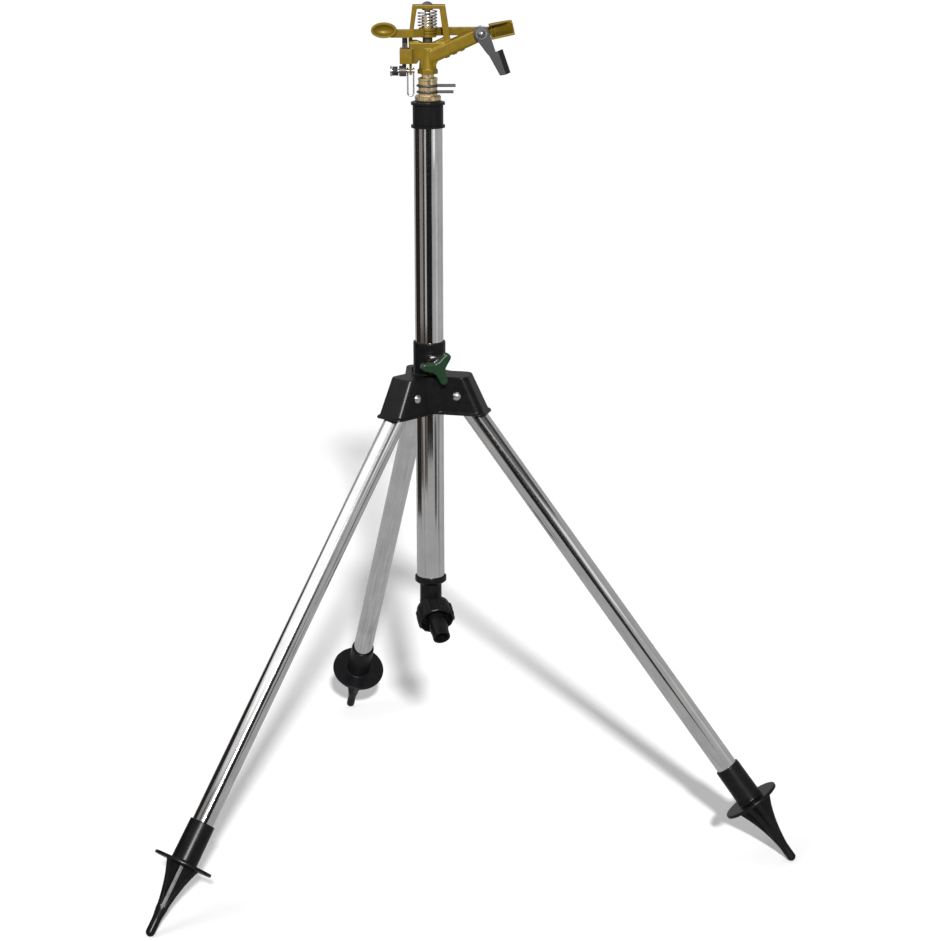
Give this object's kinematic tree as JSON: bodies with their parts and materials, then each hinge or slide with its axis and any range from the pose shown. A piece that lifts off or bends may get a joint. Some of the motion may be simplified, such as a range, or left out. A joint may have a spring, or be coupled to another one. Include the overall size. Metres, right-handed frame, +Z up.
{
  "type": "impact sprinkler on tripod",
  "caption": "Garden impact sprinkler on a folding tripod, with a sliding mast, lock knob, swivelling head, sprung striking arm, trip lever and hose inlet.",
  "frame": {"origin": "on the mast axis at ground level, midway between the three spike ends", "axes": "+Z up along the mast; at rest the nozzle points along +X"},
  "size_m": [0.5676, 0.566, 0.7562],
  "materials": {
    "gold_enamel": "satin enamel over zinc",
    "chrome": "polished chrome plate",
    "black_plastic": "moulded, fine grain",
    "green_plastic": "moulded, slightly glossy",
    "brass": "turned",
    "steel": "zinc plated",
    "dark_nylon": "moulded",
    "rubber": "soft"
  },
  "bodies": {
    "hub": {"hub_body": "black_plastic", "leg_pivot_pins": "chrome", "lock_nut": "steel"},
    "pad": {"clamp_pad": "steel"},
    "knob": {"lock_knob": "green_plastic", "lock_stud": "steel"},
    "mast": {"mast_tube": "chrome", "top_adapter": "black_plastic", "nipple_gasket": "rubber", "tube_seals": "rubber", "inlet_elbow": "black_plastic", "union_nut": "black_plastic", "hose_tail": "black_plastic", "hose_washer": "rubber", "bearing_nipple": "brass", "bearing_washers": "dark_nylon", "bearing_spring": "steel"},
    "head": {"body_casting": "gold_enamel", "bearing_tube": "brass", "fulcrum_pin": "steel", "pin_cap_nut": "steel", "nozzle": "brass", "arm_washers": "dark_nylon", "arm_spring": "steel", "flap_screw": "steel", "flap_washer": "steel", "trip_pin": "steel", "trip_spring": "steel"},
    "arm": {"impact_arm": "gold_enamel", "arm_bushing": "brass"},
    "flap": {"deflector_flap": "steel"},
    "trip": {"trip_lever": "dark_nylon", "trip_wire": "steel"},
    "upper_stop": {"upper_stop_ring": "steel"},
    "lower_stop": {"lower_stop_ring": "steel"},
    "right_leg": {"right_leg_tube": "chrome", "right_foot": "black_plastic"},
    "back_leg": {"back_leg_tube": "chrome", "back_foot": "black_plastic"},
    "left_leg": {"left_leg_tube": "chrome", "left_foot": "black_plastic"}
  },
  "joints": [
    {"name": "mast_height", "type": "slide", "parent": "hub", "child": "mast", "axis": [0, 0, 1], "range_m": [-0.16, 0.14]},
    {"name": "pad_press", "type": "slide", "parent": "hub", "child": "pad", "axis": [0.2538, -0.9673, 0], "range_m": [0, 0.00187]},
    {"name": "knob_turn", "type": "hinge", "parent": "pad", "child": "knob", "pos_m": [0.00723, -0.02757, 0.4415], "axis": [0.2538, -0.9673, 0], "range_deg": [0, 540]},
    {"name": "head_swivel", "type": "hinge", "parent": "mast", "child": "head", "pos_m": [0, 0, 0.68], "axis": [0, 0, 1], "range_deg": [-150, 150]},
    {"name": "arm_swing", "type": "hinge", "parent": "head", "child": "arm", "pos_m": [0, 0, 0.73], "axis": [0, 0, 1], "range_deg": [0, 100], "stiffness_Nm_per_rad": 0.01},
    {"name": "flap_tilt", "type": "hinge", "parent": "head", "child": "flap", "pos_m": [0.0461, -0.0083, 0.7295], "axis": [0, -1, 0], "range_deg": [-35, 22]},
    {"name": "trip_tilt", "type": "hinge", "parent": "head", "child": "trip", "pos_m": [-0.0215, 0, 0.697], "axis": [1, 0, 0], "range_deg": [-10, 10]},
    {"name": "upper_stop_turn", "type": "hinge", "parent": "mast", "child": "upper_stop", "pos_m": [0, 0, 0.6845], "axis": [0, 0, 1], "range_deg": [-150, 150]},
    {"name": "lower_stop_turn", "type": "hinge", "parent": "mast", "child": "lower_stop", "pos_m": [0, 0, 0.6791], "axis": [0, 0, 1], "range_deg": [-150, 150]},
    {"name": "right_leg_fold", "type": "hinge", "parent": "hub", "child": "right_leg", "pos_m": [0.02701, -0.00739, 0.414], "axis": [0.2639, 0.9646, 0], "range_deg": [0, 34]},
    {"name": "back_leg_fold", "type": "hinge", "parent": "hub", "child": "back_leg", "pos_m": [-0.00711, 0.02708, 0.414], "axis": [-0.9673, -0.2538, 0], "range_deg": [0, 34]},
    {"name": "left_leg_fold", "type": "hinge", "parent": "hub", "child": "left_leg", "pos_m": [-0.0199, -0.0197, 0.414], "axis": [0.7034, -0.7108, 0], "range_deg": [0, 34]}
  ],
  "couplings": [
    {"joint": "knob_turn", "follows": "pad_press", "rad_per_m": 5026.5}
  ]
}
